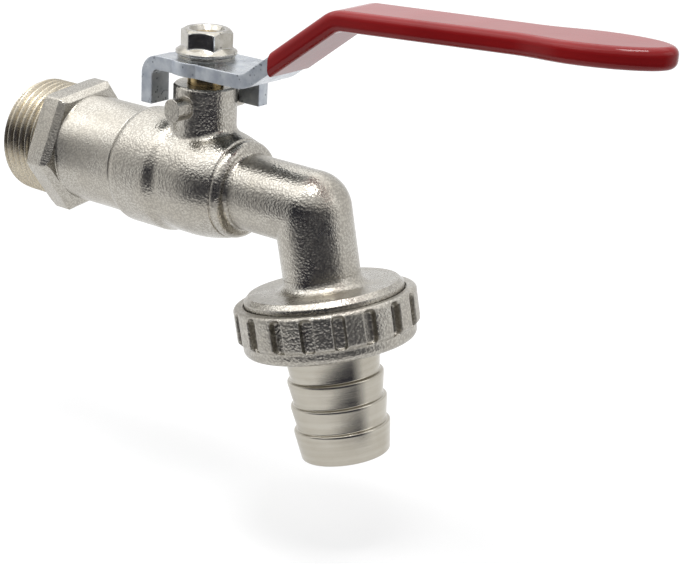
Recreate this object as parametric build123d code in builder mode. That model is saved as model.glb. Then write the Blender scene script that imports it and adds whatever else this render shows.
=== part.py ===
"""Hose tap: a lever ball tap with a union nut and a barbed hose tail.

Millimetres, +Z up along the stem.  The origin is the centre of the shoulder where
the inlet thread meets its hexagon.  +X runs from the wall towards the outlet.
The lever stands open, in line with the body.
"""

import os
from math import acos, asin, cos, degrees, radians, sin

from build123d import *

# Inlet end: G 3/4 outside thread, hexagon and barrel
inlet_thread_r = 26.441 / 2
inlet_thread_length = 10.5
inlet_thread_chamfer = 1.0
hexagon_flats = 27.0
hexagon_length = 6.0
hexagon_turn = 6.5
hexagon_corner_round = 0.6
hexagon_front_bevel = 1.0
hexagon_back_bevel = 1.4
hexagon_face_margin = 0.2
barrel_r = 12.1
inlet_bore_r = 9.2
inlet_bore_depth = 12.0
inlet_cone_length = 7.0
screw_clearance = 0.05

# The stem's place sets the chamber, the joint and the spout, which are measured from it
stem_x = 39.7

# Body joint: the inlet end screws into the chamber as far as the seam
seam_x = stem_x - 17.0
seam_bevel = 0.35
joint_r = 11.3
joint_end_x = stem_x - 6.1
joint_relief = 0.4

# Ball, seats and waterway
ball_r = 9.5
ball_bore_r = 6.0
ball_slot = 4.1
seat_front = 5.6
seat_back = 9.2
seat_r = 9.0
seat_bore_r = 6.2
seat_clearance = 0.05
ball_clearance = 0.04
chamber_r = 10.2
port_r = 6.3

# Outside of the chamber
seam_r = 12.3
socket_r = 13.2
socket_lip = 1.9
socket_end_x = stem_x - 6.7
waist_r = 12.4
waist_start_x = stem_x - 3.3
waist_end_x = stem_x + 1.5
shoulder_x = stem_x + 10.5
shoulder_r = 10.95
foot_groove_depth = 0.45
foot_groove_width = 0.6
foot_ring_r = 10.75
foot_ring_end_x = stem_x + 11.3
spout_r = 8.35
spout_start_x = stem_x + 12.9
spout_fillet = 0.9

# Boss, lugs and stem
boss_r = 6.95
boss_top = 21.4
boss_fillet = 1.8
boss_bevel = 0.4
lug_width = 4.0
lug_height = 5.0
lug_reach = 11.2
lug_offset = 0.35
lug_z = 17.2
stem_r = 3.95
stem_clearance = 0.05
collar_r = 5.0
collar_clearance = 0.2
collar_bottom = 10.6
collar_top = 12.1
washer_top = 12.9
ring_groove_r = 2.6
ring_groove_height = 1.5
ring_groove_low = 13.9
ring_groove_high = 16.9
tang_thickness = 4.0
tang_width = 8.0
tang_bottom = 7.4
tang_clearance = 0.2
stud_r = 3.0
stud_top = 32.4
stud_bevel = 0.5
stem_flats = 6.2

# Lever: plate, stop tabs, arm and dipped grip
plate_thickness = 3.0
plate_bottom = 24.1
plate_top = plate_bottom + plate_thickness
plate_half_width = 7.3
taper_start = 8.5
neck_half_width = 5.95
paddle_half_width = 7.3
tab_bottom = 16.3
rear_tab_inside = 9.0
side_tab_inside = 8.3
tab_width = 5.6
rear_disc_r = 8.0
stop_gap = 0.15
bend_r = 6.0
ramp_foot = 16.4
ramp_head = 38.2
grip_axis_z = 42.15
grip_rise = 0.0555
paddle_start = 78.3
paddle_step = 13.0
lever_reach = 108.3
coat = 0.62
coat_start = 22.9
coat_fillet = 1.6
tab_bend_r = 3.0

# Lever nut and washer
lock_washer_r = 6.2
lock_washer_height = 0.8
washer_clearance = 0.2
nut_flats = 10.0
nut_turn = 27.0
nut_flange_r = 6.65
nut_flange_height = 0.8
nut_flange_bevel = 0.3
nut_crown = 3.0
nut_face_inset = 0.3
nut_dish_r = 3.9
nut_dish_depth = 1.0
nut_top = 33.4

# Outlet leg: elbow, collar and G 1 union thread
elbow_x = stem_x + 30.5
outlet_lean = 13.2
collar_start = 16.6
outlet_collar_r = 17.2
collar_end = 19.0
collar_bevel = 1.0
collar_fillet = 2.4
union_thread_r = 33.249 / 2
union_thread_bevel = 0.8
outlet_end = 24.2
outlet_bore_r = 7.8
outlet_cone_length = 2.0

# Union nut, gasket and hose tail, measured along the outlet axis
union_top = 18.65
union_lip = 27.4
union_bottom = 29.3
rim_clearance = 0.35
land_r = 19.65
land_round = 0.85
band_r = 18.65
band_round = 1.4
land_end = 26.2
flute_floor_r = 17.9
flute_floor_width = 2.2
flute_floor_start = 19.9
flute_floor_end = 26.2
flute_floor_round = 0.7
flute_mouth_r = land_r + 0.5
flute_mouth_width = 3.1
flute_mouth_start = union_top - 0.1
flute_mouth_end = 27.2
flute_mouth_round = 1.2
flute_count = 18
flute_turn = 4.5
gasket_thickness = 1.6
gasket_r = 15.6
gasket_clearance = 0.4
tail_flange_r = 15.9
tail_neck_r = 10.0
tail_bore_r = 7.8
barb_r = 10.47
barb_root_r = 9.7
first_barb = 36.4
barb_pitch = 5.5
barb_count = 3
barb_land = 0.4
barb_back = 0.7
neck_taper = 3.0
tail_end = 54.0
tail_round = 0.9
lip_clearance = 0.4

os.makedirs("parts", exist_ok=True)

lean_x = sin(radians(outlet_lean))
lean_z = cos(radians(outlet_lean))
outlet_axis = Axis((elbow_x, 0, 0), (lean_x, 0, -lean_z))
# Sketch planes that hold a radius as local x and a height along the axis as local y
outlet_section = Plane(origin=(elbow_x, 0, 0), x_dir=(lean_z, 0, lean_x), z_dir=(0, 1, 0))
outlet_end_on = Plane(origin=(elbow_x, 0, 0), x_dir=(lean_z, 0, lean_x), z_dir=(lean_x, 0, -lean_z))
stem_axis = Axis((stem_x, 0, 0), (0, 0, 1))
stem_section = Plane(origin=(stem_x, 0, 0), x_dir=(1, 0, 0), z_dir=(0, -1, 0))
stem_plan = Plane(origin=(stem_x, 0, 0), x_dir=(1, 0, 0), z_dir=(0, 0, 1))

# Body: one casting with chamber, stem boss, stop lugs, spout, elbow and outlet collar
step_middle = ((socket_end_x + waist_start_x) / 2, (socket_r + waist_r) / 2)
with BuildPart() as body:
    with BuildSketch(Plane.XZ):
        with BuildLine():
            rim = Line((seam_x, 0), (seam_x, seam_r))
            socket = Line((seam_x + socket_lip, socket_r), (socket_end_x, socket_r))
            TangentArc(socket @ 0, rim @ 1, tangent=(-1, 0))
            waist = Line((waist_start_x, waist_r), (waist_end_x, waist_r))
            TangentArc(socket @ 1, step_middle, tangent=(1, 0))
            TangentArc(waist @ 0, step_middle, tangent=(-1, 0))
            TangentArc(waist @ 1, (shoulder_x, shoulder_r), tangent=(1, 0))
            Polyline(
                (shoulder_x, shoulder_r),
                (shoulder_x + foot_groove_width / 2, shoulder_r - foot_groove_depth),
                (shoulder_x + foot_groove_width, foot_ring_r),
            )
            ring = Line((shoulder_x + foot_groove_width, foot_ring_r), (foot_ring_end_x, foot_ring_r))
            TangentArc(ring @ 1, (spout_start_x, spout_r), tangent=(1, 0))
            Polyline((spout_start_x, spout_r), (elbow_x, spout_r), (elbow_x, 0), (seam_x, 0))
        make_face()
    revolve(axis=Axis.X)
    with Locations((stem_x, 0, 0)):
        Cylinder(boss_r, boss_top, align=(Align.CENTER, Align.CENTER, Align.MIN))
    boss_foot = body.edges(Select.LAST).filter_by(GeomType.CIRCLE, reverse=True)
    boss_foot = boss_foot.filter_by_position(Axis.Z, 0, boss_top - boss_r)
    fillet(boss_foot, boss_fillet)
    chamfer(body.faces().sort_by(Axis.Z)[-1].edges(), boss_bevel)
    spout_foot = body.edges().filter_by(GeomType.CIRCLE).filter_by_position(
        Axis.X, spout_start_x - 0.01, spout_start_x + 0.01
    )
    fillet(spout_foot, spout_fillet)
    with BuildSketch(Plane.XZ.offset(-lug_reach)):
        with Locations((stem_x + lug_offset, lug_z)):
            SlotOverall(lug_height, lug_width, rotation=90)
    extrude(amount=2 * lug_reach)
    with Locations((elbow_x, 0, 0)):
        Sphere(spout_r)
    with BuildSketch(outlet_section):
        with BuildLine():
            pipe = Line((spout_r, 0), (spout_r, collar_start - collar_fillet))
            TangentArc(pipe @ 1, (spout_r + collar_fillet, collar_start), tangent=(0, 1))
            Polyline(
                (spout_r + collar_fillet, collar_start),
                (outlet_collar_r - collar_bevel, collar_start),
                (outlet_collar_r, collar_start + collar_bevel),
                (outlet_collar_r, collar_end),
                (union_thread_r, collar_end),
                (union_thread_r, outlet_end - union_thread_bevel),
                (union_thread_r - union_thread_bevel, outlet_end),
                (0, outlet_end),
                (0, 0),
                (spout_r, 0),
            )
        make_face()
    revolve(axis=outlet_axis)
    with BuildSketch(Plane.XZ):
        Polygon(
            (seam_x, 0),
            (seam_x, joint_r + screw_clearance),
            (joint_end_x + joint_relief, joint_r + screw_clearance),
            (joint_end_x + joint_relief, chamber_r),
            (stem_x + seat_front, chamber_r),
            (stem_x + seat_front, seat_r + seat_clearance),
            (stem_x + seat_back, seat_r + seat_clearance),
            (stem_x + seat_back, port_r),
            (elbow_x, port_r),
            (elbow_x, 0),
            align=None,
        )
    revolve(axis=Axis.X, mode=Mode.SUBTRACT)
    with Locations((elbow_x, 0, 0)):
        Sphere(port_r, mode=Mode.SUBTRACT)
    with BuildSketch(outlet_section):
        Polygon(
            (0, 0),
            (port_r, 0),
            (port_r, collar_start),
            (outlet_bore_r, collar_start + outlet_cone_length),
            (outlet_bore_r, outlet_end),
            (0, outlet_end),
            align=None,
        )
    revolve(axis=outlet_axis, mode=Mode.SUBTRACT)
    with BuildSketch(stem_section):
        Polygon(
            (0, 0),
            (collar_r + collar_clearance, 0),
            (collar_r + collar_clearance, washer_top),
            (stem_r + stem_clearance, washer_top),
            (stem_r + stem_clearance, boss_top),
            (0, boss_top),
            align=None,
        )
    revolve(axis=stem_axis, mode=Mode.SUBTRACT)
body.part.label = "body"
export_step(body.part, "parts/body.step")

# Inlet end: turned piece with the wall thread, the spanner hexagon and the joint thread
hexagon_corner_r = hexagon_flats / 2 / cos(radians(30))
with BuildPart() as hexagon:
    with BuildSketch(Plane.YZ):
        RegularPolygon(hexagon_flats / 2, 6, major_radius=False, rotation=hexagon_turn)
    extrude(amount=hexagon_length)
    fillet(hexagon.edges().filter_by(Axis.X), hexagon_corner_round)
    with BuildSketch(Plane.XZ):
        Polygon(
            (0, 0),
            (0, hexagon_corner_r - hexagon_front_bevel),
            (hexagon_front_bevel, hexagon_corner_r + hexagon_front_bevel),
            (hexagon_length - hexagon_back_bevel, hexagon_corner_r + hexagon_front_bevel),
            (hexagon_length, hexagon_flats / 2 + hexagon_face_margin),
            (hexagon_length, 0),
            align=None,
        )
    revolve(axis=Axis.X, mode=Mode.INTERSECT)

with BuildPart() as inlet_end:
    add(hexagon.part)
    with BuildSketch(Plane.XZ):
        Polygon(
            (-inlet_thread_length, 0),
            (-inlet_thread_length, inlet_thread_r - inlet_thread_chamfer),
            (-inlet_thread_length + inlet_thread_chamfer, inlet_thread_r),
            (0, inlet_thread_r),
            (0, barrel_r),
            (seam_x - seam_bevel, barrel_r),
            (seam_x, barrel_r - seam_bevel),
            (seam_x, joint_r),
            (joint_end_x, joint_r),
            (joint_end_x, 0),
            align=None,
        )
    revolve(axis=Axis.X)
    with BuildSketch(Plane.XZ):
        Polygon(
            (-inlet_thread_length, 0),
            (-inlet_thread_length, inlet_bore_r),
            (inlet_bore_depth, inlet_bore_r),
            (inlet_bore_depth + inlet_cone_length, seat_bore_r),
            (stem_x - seat_back, seat_bore_r),
            (stem_x - seat_back, seat_r + seat_clearance),
            (joint_end_x, seat_r + seat_clearance),
            (joint_end_x, 0),
            align=None,
        )
    revolve(axis=Axis.X, mode=Mode.SUBTRACT)
inlet_end.part.label = "inlet_end"
export_step(inlet_end.part, "parts/inlet_end.step")

# Ball: bored through, with a slot across the bore for the stem's tang
with BuildPart() as ball:
    with Locations((stem_x, 0, 0)):
        Sphere(ball_r)
        Cylinder(ball_bore_r, 3 * ball_r, rotation=(0, 90, 0), mode=Mode.SUBTRACT)
    with Locations((stem_x, 0, tang_bottom - tang_clearance)):
        Box(
            ball_slot,
            3 * ball_r,
            ball_r,
            align=(Align.CENTER, Align.CENTER, Align.MIN),
            mode=Mode.SUBTRACT,
        )
ball.part.label = "ball"
export_step(ball.part, "parts/ball.step")

# Seats: two rings hollowed to the ball
hollow_r = ball_r + ball_clearance
front_angle = degrees(acos(seat_front / hollow_r))
bore_angle = degrees(asin(seat_bore_r / hollow_r))
with BuildPart() as outlet_seat:
    with BuildSketch(Plane.XZ):
        with BuildLine():
            hollow = CenterArc((stem_x, 0), hollow_r, bore_angle, front_angle - bore_angle)
            Polyline(
                hollow @ 1,
                (stem_x + seat_front, seat_r),
                (stem_x + seat_back, seat_r),
                (stem_x + seat_back, seat_bore_r),
                hollow @ 0,
            )
        make_face()
    revolve(axis=Axis.X)
outlet_seat.part.label = "outlet_seat"
export_step(outlet_seat.part, "parts/outlet_seat.step")

with BuildPart() as inlet_seat:
    add(mirror(outlet_seat.part, Plane.YZ.offset(stem_x)))
inlet_seat.part.label = "inlet_seat"
export_step(inlet_seat.part, "parts/inlet_seat.step")

# Stem: put in from inside, held by its collar, with two ring grooves and a flatted stud
with BuildPart() as stem:
    with BuildSketch(stem_section):
        Polygon(
            (0, collar_bottom),
            (collar_r, collar_bottom),
            (collar_r, collar_top),
            (stem_r, collar_top),
            (stem_r, ring_groove_low),
            (ring_groove_r, ring_groove_low),
            (ring_groove_r, ring_groove_low + ring_groove_height),
            (stem_r, ring_groove_low + ring_groove_height),
            (stem_r, ring_groove_high),
            (ring_groove_r, ring_groove_high),
            (ring_groove_r, ring_groove_high + ring_groove_height),
            (stem_r, ring_groove_high + ring_groove_height),
            (stem_r, plate_top - 0.1),
            (stud_r, plate_top - 0.1),
            (stud_r, stud_top - stud_bevel),
            (stud_r - stud_bevel, stud_top),
            (0, stud_top),
            align=None,
        )
    revolve(axis=stem_axis)
    with Locations(
        (stem_x + stem_flats / 2, 0, plate_bottom),
        (stem_x - stem_flats / 2 - stem_r, 0, plate_bottom),
    ):
        Box(
            stem_r,
            3 * stem_r,
            plate_thickness,
            align=(Align.MIN, Align.CENTER, Align.MIN),
            mode=Mode.SUBTRACT,
        )
    with BuildSketch(stem_plan.offset(tang_bottom)):
        Circle(tang_width / 2)
        Rectangle(tang_thickness, tang_width, mode=Mode.INTERSECT)
    extrude(amount=collar_bottom - tang_bottom)
stem.part.label = "stem"
export_step(stem.part, "parts/stem.step")

with BuildPart() as thrust_washer:
    with BuildSketch(stem_plan.offset(collar_top)):
        Circle(collar_r)
        Circle(stem_r + stem_clearance, mode=Mode.SUBTRACT)
    extrude(amount=washer_top - collar_top)
thrust_washer.part.label = "thrust_washer"
export_step(thrust_washer.part, "parts/thrust_washer.step")

ring_section_r = (stem_r + stem_clearance - ring_groove_r) / 2 - 0.02
ring_r = ring_groove_r + 0.01 + ring_section_r
with BuildPart() as lower_stem_ring:
    with Locations((stem_x, 0, ring_groove_low + ring_groove_height / 2)):
        Torus(ring_r, ring_section_r)
lower_stem_ring.part.label = "lower_stem_ring"
export_step(lower_stem_ring.part, "parts/lower_stem_ring.step")

with BuildPart() as upper_stem_ring:
    with Locations((stem_x, 0, ring_groove_high + ring_groove_height / 2)):
        Torus(ring_r, ring_section_r)
upper_stem_ring.part.label = "upper_stem_ring"
export_step(upper_stem_ring.part, "parts/upper_stem_ring.step")

# Lever: a pressed steel strip.  Its side view, swept across, is trimmed to its plan view.
stop_plus = lug_offset + lug_width / 2 + stop_gap
stop_minus = lug_offset - lug_width / 2 - stop_gap
plate_axis_z = plate_bottom + plate_thickness / 2
grip_end_x = lever_reach + 10
grip_end_z = grip_axis_z + grip_rise * (grip_end_x - ramp_head)
trim_height = 2 * grip_end_z
trim_half_width = 2 * paddle_half_width
rear_axis_x = -rear_tab_inside - plate_thickness / 2
side_axis_y = side_tab_inside + plate_thickness / 2


def arm_outline(grow):
    """Plan view of the arm and its paddle end, grown outwards by a coat's thickness."""
    side = plate_half_width + grow
    neck = neck_half_width + grow
    paddle = paddle_half_width + grow
    tip_x = paddle_start + paddle_step
    taper_slope = (neck - side) / (paddle_start - taper_start)
    with BuildSketch(stem_plan) as outline:
        with BuildLine():
            Polyline((0, 0), (0, side), (taper_start, side), (paddle_start, neck))
            Spline((paddle_start, neck), (tip_x, paddle), tangents=((1, taper_slope), (1, 0)))
            tip_length = lever_reach + grow - tip_x
            EllipticalCenterArc((tip_x, 0), tip_length, paddle, start_angle=0, arc_size=90)
            mirror(about=Plane.XZ)
        make_face()
    return outline.sketch_local


with BuildPart() as lever_side:
    with BuildSketch(stem_section):
        with BuildLine() as strip:
            tab_turn = FilletPolyline(
                (rear_axis_x, tab_bottom),
                (rear_axis_x, plate_axis_z),
                (0, plate_axis_z),
                radius=tab_bend_r,
            )
            FilletPolyline(
                tab_turn @ 1,
                (ramp_foot, plate_axis_z),
                (ramp_head, grip_axis_z),
                (grip_end_x, grip_end_z),
                radius=bend_r,
            )
        trace(strip.line, plate_thickness)
    extrude(amount=trim_half_width, both=True)

with BuildPart() as lever:
    with BuildSketch(stem_plan):
        add(arm_outline(0))
        Circle(rear_disc_r)
        with Locations((-rear_tab_inside - 2 * plate_thickness, -plate_half_width)):
            Rectangle(
                rear_tab_inside + 2 * plate_thickness,
                stop_minus + plate_half_width,
                align=(Align.MIN, Align.MIN),
            )
    extrude(amount=trim_height)
    add(lever_side.part, mode=Mode.INTERSECT)
    with BuildSketch(Plane.YZ.offset(stem_x + stop_plus)):
        with BuildLine() as side_strip:
            FilletPolyline(
                (0, plate_axis_z),
                (side_axis_y, plate_axis_z),
                (side_axis_y, tab_bottom),
                radius=tab_bend_r,
            )
        trace(side_strip.line, plate_thickness)
    extrude(amount=tab_width)
    with BuildSketch(stem_plan.offset(plate_bottom - 1)):
        Circle(stem_r + stem_clearance)
        Rectangle(stem_flats + 2 * stem_clearance, 4 * stem_r, mode=Mode.INTERSECT)
    extrude(amount=plate_thickness + 2, mode=Mode.SUBTRACT)
lever.part.label = "lever"
export_step(lever.part, "parts/lever.step")

# Grip: a dipped coat that follows the arm, with rounded edges
with BuildPart() as coat_side:
    with BuildSketch(stem_section):
        with BuildLine() as coat_strip:
            FilletPolyline(
                (0, plate_axis_z),
                (ramp_foot, plate_axis_z),
                (ramp_head, grip_axis_z),
                (grip_end_x, grip_end_z),
                radius=bend_r,
            )
        trace(coat_strip.line, plate_thickness + 2 * coat)
    extrude(amount=trim_half_width, both=True)

with BuildPart() as lever_grip:
    with BuildSketch(stem_plan):
        add(arm_outline(coat))
    extrude(amount=trim_height)
    add(coat_side.part, mode=Mode.INTERSECT)
    with Locations((stem_x + coat_start, 0, 0)):
        Box(
            2 * lever_reach,
            2 * trim_half_width,
            2 * trim_height,
            align=(Align.MIN, Align.CENTER, Align.CENTER),
            mode=Mode.INTERSECT,
        )
    start_face = lever_grip.faces().sort_by(Axis.X)[0]
    rounded = lever_grip.edges() - start_face.edges()
    fillet(rounded.filter_by_position(Axis.X, stem_x + coat_start, stem_x + 2 * lever_reach), coat_fillet)
    add(lever.part, mode=Mode.SUBTRACT)
lever_grip.part.label = "lever_grip"
export_step(lever_grip.part, "parts/lever_grip.step")

# Lever washer and flanged nut
with BuildPart() as lever_washer:
    with BuildSketch(stem_plan.offset(plate_top)):
        Circle(lock_washer_r)
        Circle(stud_r + washer_clearance, mode=Mode.SUBTRACT)
    extrude(amount=lock_washer_height)
lever_washer.part.label = "lever_washer"
export_step(lever_washer.part, "parts/lever_washer.step")

nut_bottom = plate_top + lock_washer_height
with BuildPart() as nut_hexagon:
    with BuildSketch(stem_plan.offset(nut_bottom)):
        RegularPolygon(nut_flats / 2, 6, major_radius=False, rotation=nut_turn)
    extrude(amount=nut_top - nut_bottom)
    with BuildSketch(stem_section):
        Polygon(
            (0, nut_bottom),
            (nut_flats, nut_bottom),
            (nut_flats, nut_top - nut_crown),
            (nut_flats / 2 - nut_face_inset, nut_top),
            (0, nut_top),
            align=None,
        )
    revolve(axis=stem_axis, mode=Mode.INTERSECT)

with BuildPart() as lever_nut:
    add(nut_hexagon.part)
    with BuildSketch(stem_section):
        Polygon(
            (0, nut_bottom),
            (nut_flange_r - nut_flange_bevel, nut_bottom),
            (nut_flange_r, nut_bottom + nut_flange_bevel),
            (nut_flange_r, nut_bottom + nut_flange_height),
            (nut_flats / 2, nut_bottom + 2.4 * nut_flange_height),
            (0, nut_bottom + 2.4 * nut_flange_height),
            align=None,
        )
    revolve(axis=stem_axis)
    with BuildSketch(stem_section):
        Polygon(
            (0, nut_bottom),
            (stud_r + screw_clearance, nut_bottom),
            (stud_r + screw_clearance, nut_top - nut_dish_depth),
            (nut_dish_r, nut_top),
            (0, nut_top),
            align=None,
        )
    revolve(axis=stem_axis, mode=Mode.SUBTRACT)
lever_nut.part.label = "lever_nut"
export_step(lever_nut.part, "parts/lever_nut.step")

# Union nut: scooped flutes round the upper part, plain band below, inside lip under the tail's flange
with BuildPart() as flute:
    with BuildSketch(Plane.YZ.offset(flute_floor_r)):
        with Locations((0, (flute_floor_start + flute_floor_end) / 2)):
            RectangleRounded(flute_floor_width, flute_floor_end - flute_floor_start, flute_floor_round)
    with BuildSketch(Plane.YZ.offset(flute_mouth_r)):
        with Locations((0, (flute_mouth_start + flute_mouth_end) / 2)):
            RectangleRounded(flute_mouth_width, flute_mouth_end - flute_mouth_start, flute_mouth_round)
    loft()

land_slope = (land_r - band_r) / 2
with BuildPart() as union_nut:
    with BuildSketch(outlet_section):
        with BuildLine():
            land_top = TangentArc(
                (land_r - land_round, union_top), (land_r, union_top + land_round), tangent=(1, 0)
            )
            Polyline(
                land_top @ 1,
                (land_r, land_end - land_slope),
                (band_r, land_end + land_slope),
                (band_r, union_bottom - band_round),
            )
            band_foot = TangentArc(
                (band_r, union_bottom - band_round), (band_r - band_round, union_bottom), tangent=(0, 1)
            )
            Polyline(
                band_foot @ 1,
                (tail_neck_r + lip_clearance, union_bottom),
                (tail_neck_r + lip_clearance, union_lip),
                (union_thread_r + screw_clearance, union_lip),
                (union_thread_r + screw_clearance, collar_end + 2 * rim_clearance),
                (outlet_collar_r + rim_clearance, collar_end + rim_clearance),
                (outlet_collar_r + rim_clearance, union_top),
                land_top @ 0,
            )
        make_face()
    revolve(axis=outlet_axis)
    with Locations(outlet_end_on.location):
        with PolarLocations(0, flute_count, start_angle=flute_turn):
            add(flute.part, mode=Mode.SUBTRACT)
union_nut.part.label = "union_nut"
export_step(union_nut.part, "parts/union_nut.step")

gasket_end = outlet_end + gasket_thickness
with BuildPart() as gasket:
    with BuildSketch(outlet_end_on.offset(outlet_end)):
        Circle(gasket_r)
        Circle(tail_bore_r + gasket_clearance, mode=Mode.SUBTRACT)
    extrude(amount=gasket_thickness)
gasket.part.label = "gasket"
export_step(gasket.part, "parts/gasket.step")

# Hose tail: flange, neck and barbs that are sharp towards the nut
tail_outline = [
    (tail_bore_r, gasket_end),
    (tail_flange_r, gasket_end),
    (tail_flange_r, union_lip),
    (tail_neck_r, union_lip),
    (tail_neck_r, first_barb - neck_taper),
]
for barb in range(barb_count):
    edge_s = first_barb + barb * barb_pitch
    tail_outline.append((barb_root_r, edge_s - barb_back))
    tail_outline.append((barb_r, edge_s))
    tail_outline.append((barb_r, edge_s + barb_land))
tail_outline.append((barb_root_r, tail_end - tail_round))
tail_outline.append((barb_root_r - 0.3 * tail_round, tail_end - 0.3 * tail_round))
tail_outline.append((barb_root_r - tail_round, tail_end))
tail_outline.append((tail_bore_r, tail_end))
with BuildPart() as hose_tail:
    with BuildSketch(outlet_section):
        Polygon(*tail_outline, align=None)
    revolve(axis=outlet_axis)
hose_tail.part.label = "hose_tail"
export_step(hose_tail.part, "parts/hose_tail.step")
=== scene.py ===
"""Looks of the hose tap: finishes for every piece, a cut thread, a turned tail, a studio and a camera.

Lengths are in metres, in the CAD part's own frame: +X runs from the wall to the outlet and
+Z up along the stem. The origin is the centre of the shoulder behind the inlet thread.
"""

import logging
import math
from dataclasses import dataclass, field
from enum import Enum
from typing import Any, Dict, List, Mapping, Optional, Sequence, Tuple, Union

import bmesh
import bpy
from mathutils import Matrix, Vector


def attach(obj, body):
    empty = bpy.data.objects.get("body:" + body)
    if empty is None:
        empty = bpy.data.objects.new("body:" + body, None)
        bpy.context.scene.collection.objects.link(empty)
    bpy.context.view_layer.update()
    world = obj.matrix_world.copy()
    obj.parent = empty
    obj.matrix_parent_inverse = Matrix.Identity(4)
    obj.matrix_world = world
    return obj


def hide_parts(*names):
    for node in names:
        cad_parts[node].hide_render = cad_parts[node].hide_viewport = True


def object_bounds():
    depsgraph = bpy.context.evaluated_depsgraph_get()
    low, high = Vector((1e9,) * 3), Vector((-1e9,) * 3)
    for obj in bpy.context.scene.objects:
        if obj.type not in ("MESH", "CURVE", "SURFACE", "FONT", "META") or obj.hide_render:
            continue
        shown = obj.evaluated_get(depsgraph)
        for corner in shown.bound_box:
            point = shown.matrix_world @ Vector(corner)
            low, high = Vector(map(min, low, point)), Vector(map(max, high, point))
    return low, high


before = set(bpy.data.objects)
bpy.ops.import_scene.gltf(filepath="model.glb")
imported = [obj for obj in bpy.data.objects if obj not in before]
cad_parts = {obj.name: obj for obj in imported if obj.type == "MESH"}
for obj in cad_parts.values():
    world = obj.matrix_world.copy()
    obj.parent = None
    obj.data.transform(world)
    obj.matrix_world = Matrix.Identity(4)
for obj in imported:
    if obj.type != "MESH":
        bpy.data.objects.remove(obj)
CAD_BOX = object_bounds()

log = logging.getLogger("hose_tap")

Socket = bpy.types.NodeSocket
Colour = Tuple[float, float, float]
Place = Tuple[float, float, float]
Outline = List[Tuple[float, float]]
Value = Union[float, Sequence[float], Socket]
Values = Mapping[Union[str, int], Value]

MM = 0.001
OUTLET_LEAN = math.radians(13.2)
ELBOW = Vector((70.2 * MM, 0.0, 0.0))
OUTLET_AXIS = Vector((math.sin(OUTLET_LEAN), 0.0, -math.cos(OUTLET_LEAN)))
INLET_AXIS = Vector((1.0, 0.0, 0.0))
STEM_FOOT = Vector((39.7 * MM, 0.0, 0.0))
UP = Vector((0.0, 0.0, 1.0))
SHARP_EDGE = math.radians(32)
SAME_POINT = 1e-6
ON_PLANE = 1e-7
WHITE = (1.0, 1.0, 1.0)
RUBBER_BLACK = (0.016, 0.016, 0.017)
RUBBER_DUST = (0.03, 0.03, 0.03)


class Body(Enum):
    """The bodies of the CAD part that new pieces ride on."""

    VALVE = "valve"
    TAIL = "tail"


class Slot(Enum):
    """Names of the record's material slots for the new pieces; nothing in the script reads them."""

    CAST = "cast_nickel"
    TURNED = "turned_nickel"


class SocketKind(Enum):
    """The kinds of socket that the shared effects have."""

    FLOAT = "NodeSocketFloat"
    VECTOR = "NodeSocketVector"


def with_alpha(colour: Value) -> Value:
    """Adds full alpha to a plain colour and lets a socket through."""
    return colour if isinstance(colour, Socket) else (*colour, 1.0)


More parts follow.
